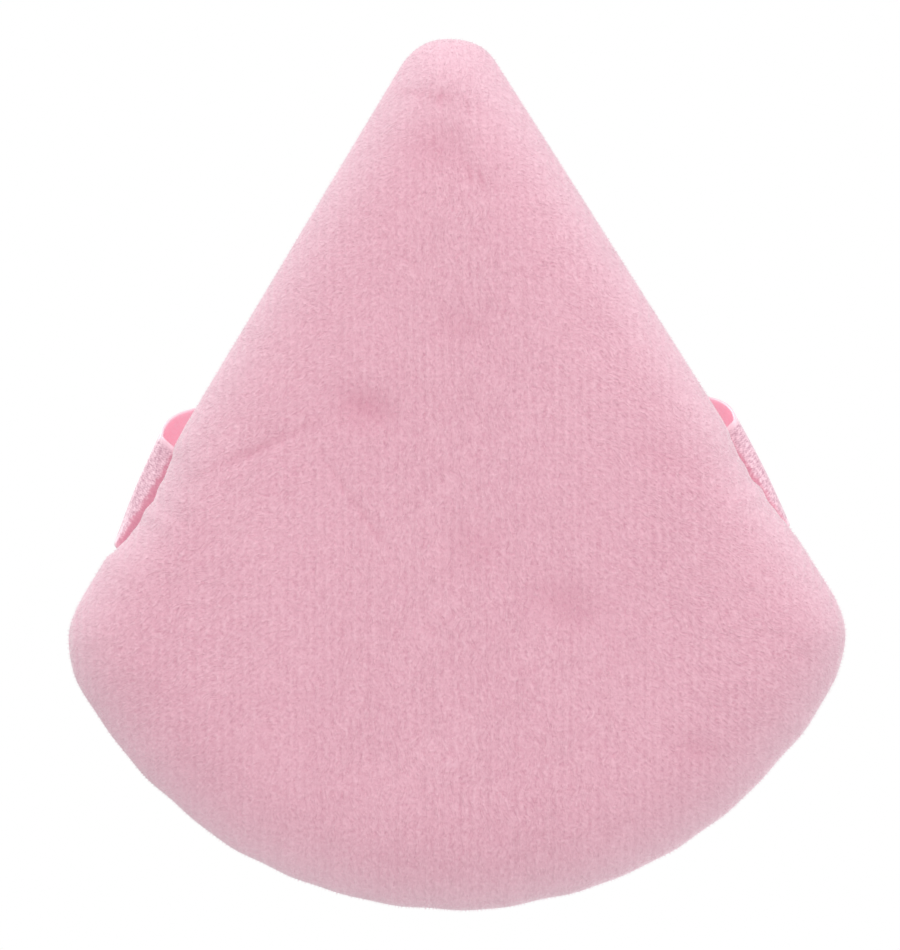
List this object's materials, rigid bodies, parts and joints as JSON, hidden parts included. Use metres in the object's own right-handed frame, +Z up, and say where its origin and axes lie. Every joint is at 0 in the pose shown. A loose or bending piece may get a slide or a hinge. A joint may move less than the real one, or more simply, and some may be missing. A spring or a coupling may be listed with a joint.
{
  "type": "powder puff",
  "caption": "Fan-shaped velour powder puff with a rounded tip, a bowed lower edge, a sponge core and a satin ribbon finger strap across its back.",
  "frame": {"origin": "on the floor under the middle of the outline's bounding box, with the puff lying on its powder face", "axes": "+Z up through the back and the strap, +Y towards the rounded tip, X across from one side seam to the other"},
  "size_m": [0.0712, 0.08, 0.0195],
  "materials": {
    "velour": "pink cotton velour, short cut pile",
    "sponge": "off-white open-cell sponge",
    "satin": "pale pink single-faced satin, fine weave, warmer on the reverse",
    "thread": "pink polyester sewing thread"
  },
  "bodies": {
    "puff": {"front_panel": "velour", "back_panel": "velour", "sponge_core": "sponge", "seam_needle_thread": "thread", "seam_bobbin_thread": "thread", "closing_thread": "thread", "strap_tack_right": "thread", "strap_tack_left": "thread"},
    "strap": {"ribbon_strap": "satin"}
  },
  "joints": [
    {"name": "strap_lift", "type": "slide", "parent": "puff", "child": "strap", "axis": [0, 0, 1], "range_m": [-0.004, 0.005], "stiffness_N_per_m": 10, "deforming": ["ribbon_strap"]}
  ]
}
